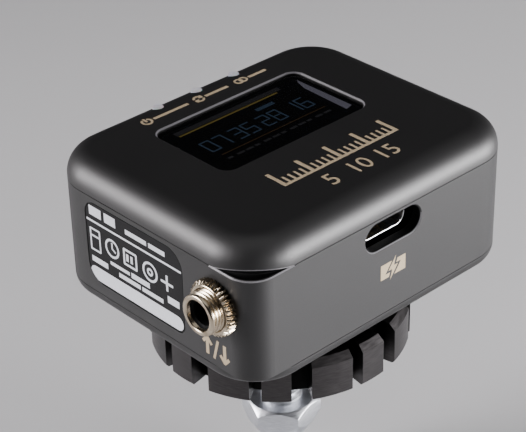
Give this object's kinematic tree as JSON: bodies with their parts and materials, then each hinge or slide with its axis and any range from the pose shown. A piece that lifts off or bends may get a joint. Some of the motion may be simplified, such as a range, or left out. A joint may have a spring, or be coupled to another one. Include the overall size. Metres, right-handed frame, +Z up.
{
  "type": "wireless sync box",
  "caption": "Pocket wireless sync box with a display, status lights, side buttons, a charging port and an audio jack, on a threaded stud with a castellated lock ring.",
  "frame": {"origin": "on the stud's axis, at the shoulder above its lower thread", "axes": "+Z up along the stud towards the display, +X the display's reading direction, -Y the charging-port side"},
  "size_m": [0.0564, 0.0433, 0.059],
  "materials": {
    "case_plastic": "black, fine satin grain",
    "screw_steel": "blackened",
    "window_glass": "polished smoked window",
    "black_tape": "matt",
    "panel_glass": "polished",
    "black_foam": "soft foam",
    "amber_film": "amber film",
    "light_diffuser": "milky white",
    "lamp_resin": "clear resin",
    "button_plastic": "fine satin grain",
    "switch_plastic": "moulded",
    "board_resin": "green resist",
    "chip_resin": "moulded",
    "tinned_sheet": "tinned",
    "ceramic_white": "fired",
    "bright_nickel": "bright plated",
    "jack_nickel": "warm nickel plate",
    "contact_brass": "plated",
    "dark_mesh": "black woven mesh",
    "cell_foil": "pouch foil",
    "white_foam": "soft foam",
    "plate_plastic": "printed black film",
    "insert_brass": "turned",
    "stud_steel": "turned, bright",
    "washer_rubber": "matt",
    "ring_alloy": "dark anodised"
  },
  "bodies": {
    "housing": {"top_cover": "case_plastic", "middle_frame": "case_plastic", "bottom_cover": "case_plastic", "case_screws": "screw_steel", "display_window": "window_glass", "window_tape": "black_tape", "display_panel": "panel_glass", "display_cushion": "black_foam", "panel_flex": "amber_film", "light_pipes": "light_diffuser", "status_leds": "lamp_resin", "switch_bodies": "switch_plastic", "main_board": "board_resin", "processor_chip": "chip_resin", "radio_shield": "tinned_sheet", "board_chips": "chip_resin", "antenna": "ceramic_white", "usb_shell": "bright_nickel", "usb_tongue": "chip_resin", "jack_barrel": "jack_nickel", "jack_nut": "jack_nickel", "jack_body": "chip_resin", "jack_contacts": "contact_brass", "mic_capsule": "tinned_sheet", "mic_mesh": "dark_mesh", "battery_cell": "cell_foil", "battery_pad": "white_foam", "battery_leads": "tinned_sheet", "side_plate": "plate_plastic", "thread_insert": "insert_brass", "mount_stud": "stud_steel"},
    "power_key": {"power_button": "button_plastic", "power_plunger": "switch_plastic"},
    "sync_key": {"sync_button": "button_plastic", "sync_plunger": "switch_plastic"},
    "pair_key": {"pair_button": "button_plastic", "pair_plunger": "switch_plastic"},
    "washer": {"friction_washer": "washer_rubber"},
    "ring": {"lock_ring": "ring_alloy"}
  },
  "joints": [
    {"name": "power_press", "type": "slide", "parent": "housing", "child": "power_key", "axis": [0, -1, 0], "range_m": [0, 0.0004], "stiffness_N_per_m": 3000},
    {"name": "sync_press", "type": "slide", "parent": "housing", "child": "sync_key", "axis": [0, -1, 0], "range_m": [0, 0.0004], "stiffness_N_per_m": 3000},
    {"name": "pair_press", "type": "slide", "parent": "housing", "child": "pair_key", "axis": [0, -1, 0], "range_m": [0, 0.0004], "stiffness_N_per_m": 3000},
    {"name": "washer_slide", "type": "slide", "parent": "housing", "child": "washer", "axis": [0, 0, -1], "range_m": [0, 0.01143]},
    {"name": "ring_turn", "type": "hinge", "parent": "washer", "child": "ring", "pos_m": [0, 0, 0.022], "axis": [0, 0, -1], "range_deg": [0, 3240]}
  ],
  "couplings": [
    {"joint": "washer_slide", "follows": "ring_turn", "m_per_rad": 0.00020212}
  ]
}
